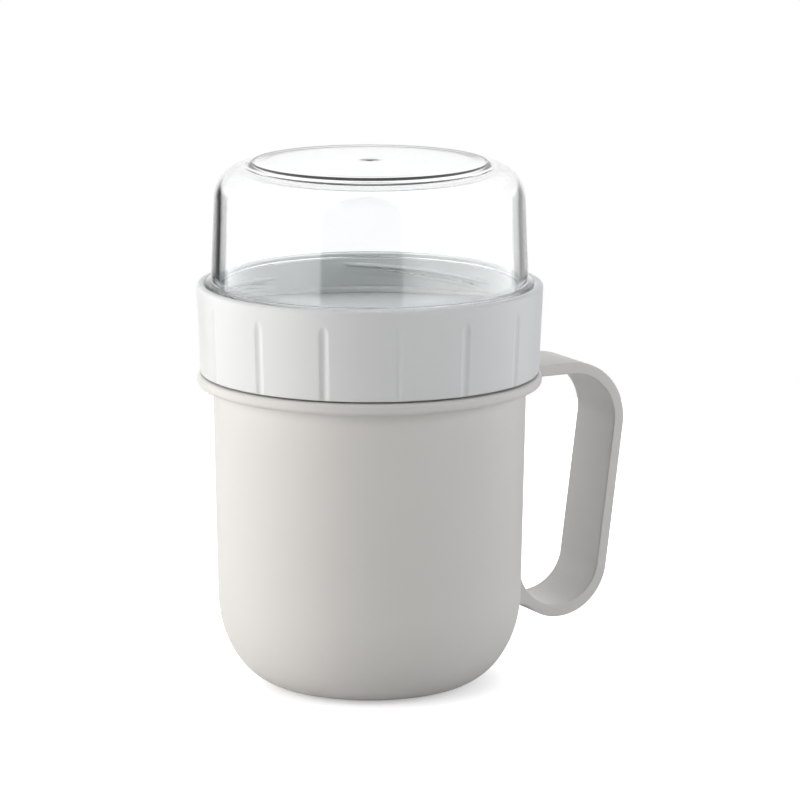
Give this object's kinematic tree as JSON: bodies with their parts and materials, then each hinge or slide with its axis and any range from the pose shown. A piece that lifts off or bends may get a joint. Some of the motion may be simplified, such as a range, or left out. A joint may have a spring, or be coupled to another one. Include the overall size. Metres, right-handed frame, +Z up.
{
  "type": "to-go cup",
  "caption": "To-go food cup with a moulded strip handle, a fluted two-sided screw collar with seals, and a clear bowl screwed upside down on top.",
  "frame": {"origin": "middle of the cup's flat base", "axes": "+Z up along the axis of the cup, +X from the axis out through the middle of the handle, +Y completes the right-handed frame"},
  "size_m": [0.136, 0.1054, 0.1604],
  "materials": {
    "cup_plastic": "satin moulded polypropylene, warm light grey",
    "collar_plastic": "satin moulded polypropylene, cool light grey",
    "silicone": "milky silicone",
    "clear_plastic": "polished clear styrene plastic"
  },
  "bodies": {
    "cup": {"cup": "cup_plastic"},
    "cup_gasket": {"cup_gasket": "silicone"},
    "collar": {"collar": "collar_plastic"},
    "bowl_gasket": {"bowl_gasket": "silicone"},
    "bowl": {"clear_bowl": "clear_plastic"}
  },
  "joints": [
    {"name": "collar_lift", "type": "slide", "parent": "cup", "child": "cup_gasket", "axis": [0, 0, 1], "range_m": [0, 0.016]},
    {"name": "collar_turn", "type": "hinge", "parent": "cup_gasket", "child": "collar", "pos_m": [0, 0, 0.1], "axis": [0, 0, 1], "range_deg": [0, 360]},
    {"name": "bowl_turn", "type": "hinge", "parent": "collar", "child": "bowl_gasket", "pos_m": [0, 0, 0.12], "axis": [0, 0, 1], "range_deg": [0, 270]},
    {"name": "bowl_lift", "type": "slide", "parent": "bowl_gasket", "child": "bowl", "axis": [0, 0, 1], "range_m": [0, 0.012]}
  ],
  "couplings": [
    {"joint": "collar_turn", "follows": "collar_lift", "rad_per_m": 392.69},
    {"joint": "bowl_turn", "follows": "bowl_lift", "rad_per_m": 392.69}
  ]
}
